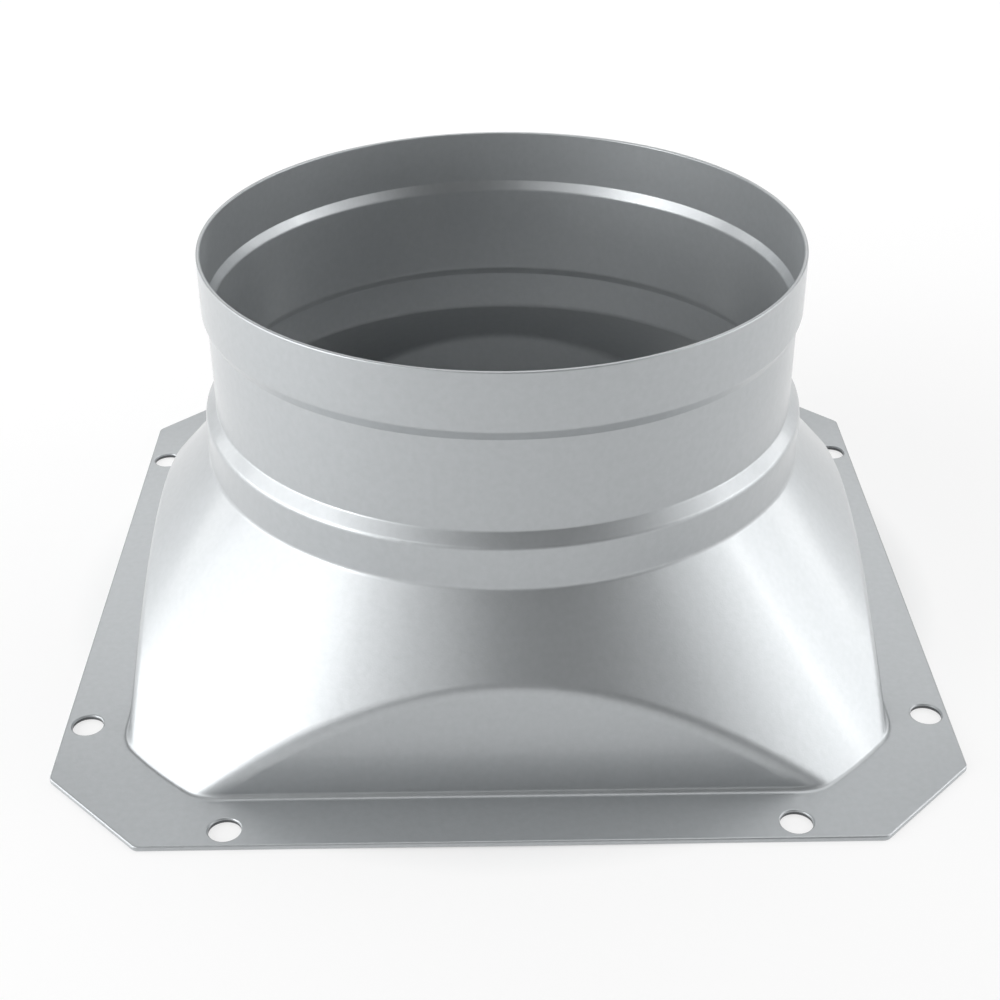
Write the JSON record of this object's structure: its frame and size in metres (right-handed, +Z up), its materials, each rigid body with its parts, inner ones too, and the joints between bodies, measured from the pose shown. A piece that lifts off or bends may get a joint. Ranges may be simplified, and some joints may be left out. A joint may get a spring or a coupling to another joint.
{
  "type": "duct flange connector",
  "caption": "Square flange drawn up through a square-to-round transition into a stepped round collar, for joining round duct to a wall, box or square opening.",
  "frame": {"origin": "middle of the flange's underside, the face that bolts to the wall or box", "axes": "+Z up the collar towards its rim, X and Y along the straight sides of the square flange"},
  "size_m": [0.2166, 0.2166, 0.1021],
  "materials": {
    "coated_sheet": "smooth silver-grey coat with a soft sheen and very fine orange peel"
  },
  "bodies": {
    "root": {"flange_connector": "coated_sheet"}
  },
  "joints": []
}
